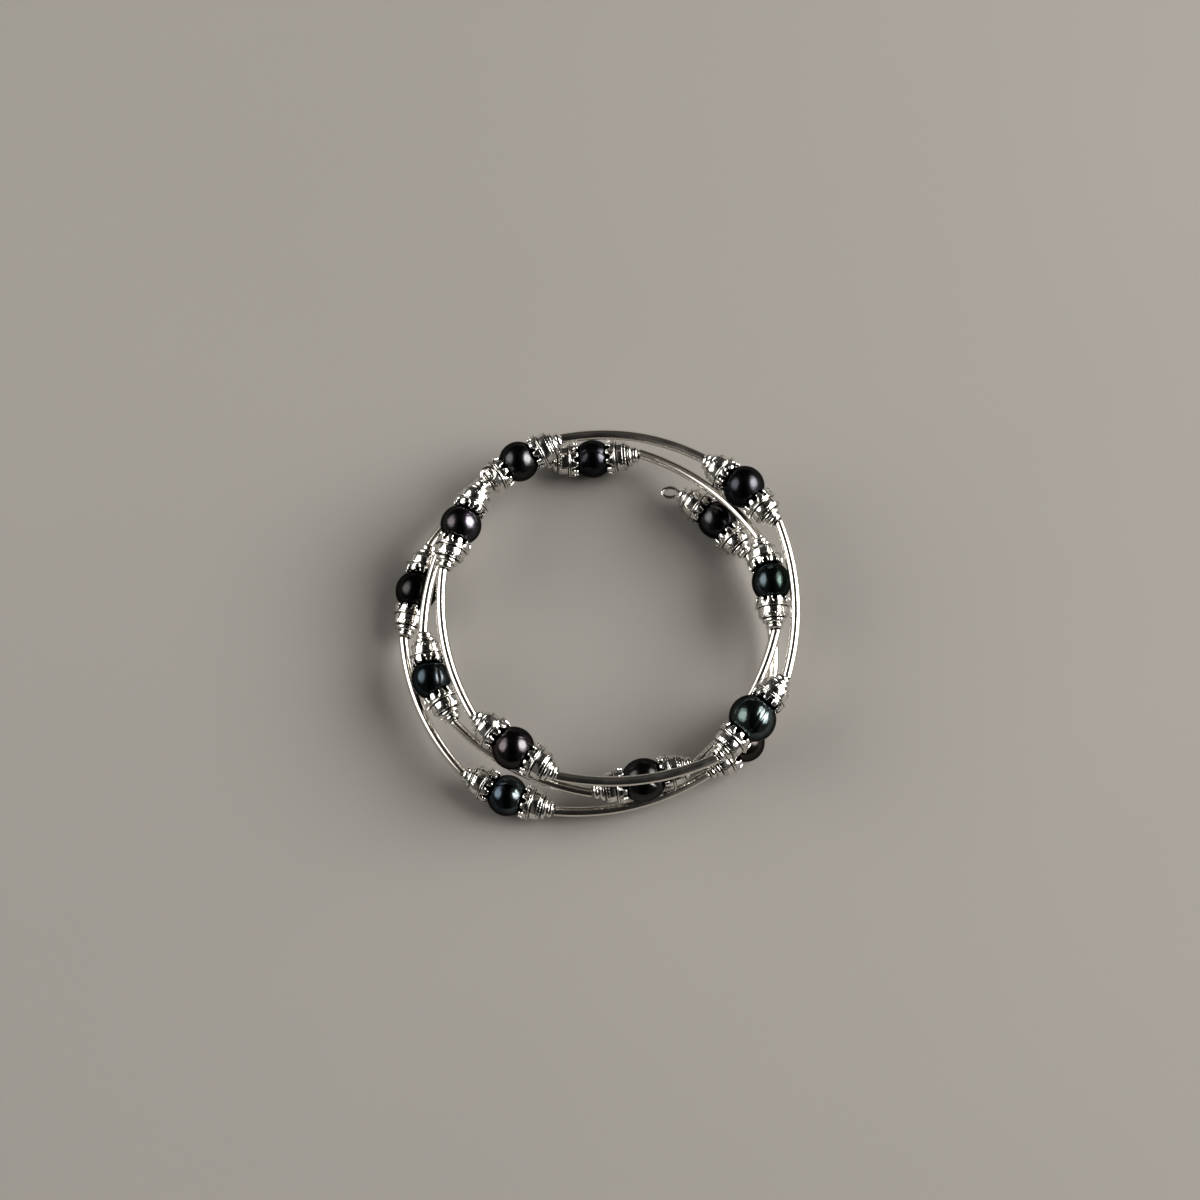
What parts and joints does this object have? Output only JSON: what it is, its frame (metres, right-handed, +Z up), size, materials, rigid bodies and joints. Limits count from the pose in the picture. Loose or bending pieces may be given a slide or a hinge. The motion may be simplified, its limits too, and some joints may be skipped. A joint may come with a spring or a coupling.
{
  "type": "pearl wrap bracelet",
  "caption": "Open wrap bracelet of dark pearls between silver crown caps and curved silver tubes, coiled on one springy wire.",
  "frame": {"origin": "bottom centre of the whole coil's box, on the surface that it lies on", "axes": "+Z up along the coil's axis, +X and +Y in the plane of its turns, the coil winding down anticlockwise as seen from above"},
  "size_m": [0.0652, 0.063, 0.0158],
  "materials": {
    "pearl_plum": "lustrous dark plum pearl",
    "pearl_aubergine": "lustrous dark aubergine pearl",
    "pearl_teal": "lustrous dark teal pearl",
    "pearl_violet": "lustrous dark violet pearl",
    "pearl_black": "lustrous dark black pearl",
    "pearl_blue": "lustrous dark blue pearl",
    "pearl_charcoal": "lustrous dark charcoal pearl",
    "pearl_green": "lustrous dark green pearl",
    "pearl_mauve": "lustrous dark mauve pearl",
    "pearl_olive": "lustrous dark olive pearl",
    "silver": "bright polished silver plate",
    "steel": "bright drawn steel wire"
  },
  "bodies": {
    "root": {"pearl_01": "pearl_plum", "pearl_02": "pearl_aubergine", "pearl_03": "pearl_teal", "pearl_04": "pearl_violet", "pearl_05": "pearl_black", "pearl_06": "pearl_blue", "pearl_07": "pearl_charcoal", "pearl_08": "pearl_green", "pearl_09": "pearl_mauve", "pearl_10": "pearl_black", "pearl_11": "pearl_blue", "pearl_12": "pearl_olive", "pearl_13": "pearl_charcoal", "cap_01_before": "silver", "cap_01_after": "silver", "cap_02_before": "silver", "cap_02_after": "silver", "cap_03_before": "silver", "cap_03_after": "silver", "cap_04_before": "silver", "cap_04_after": "silver", "cap_05_before": "silver", "cap_05_after": "silver", "cap_06_before": "silver", "cap_06_after": "silver", "cap_07_before": "silver", "cap_07_after": "silver", "cap_08_before": "silver", "cap_08_after": "silver", "cap_09_before": "silver", "cap_09_after": "silver", "cap_10_before": "silver", "cap_10_after": "silver", "cap_11_before": "silver", "cap_11_after": "silver", "cap_12_before": "silver", "cap_12_after": "silver", "cap_13_before": "silver", "cap_13_after": "silver", "tube_01": "silver", "tube_02": "silver", "tube_03": "silver", "tube_04": "silver", "tube_05": "silver", "tube_06": "silver", "tube_07": "silver", "tube_08": "silver", "tube_09": "silver", "tube_10": "silver", "tube_11": "silver", "tube_12": "silver", "memory_wire": "steel"}
  },
  "joints": []
}
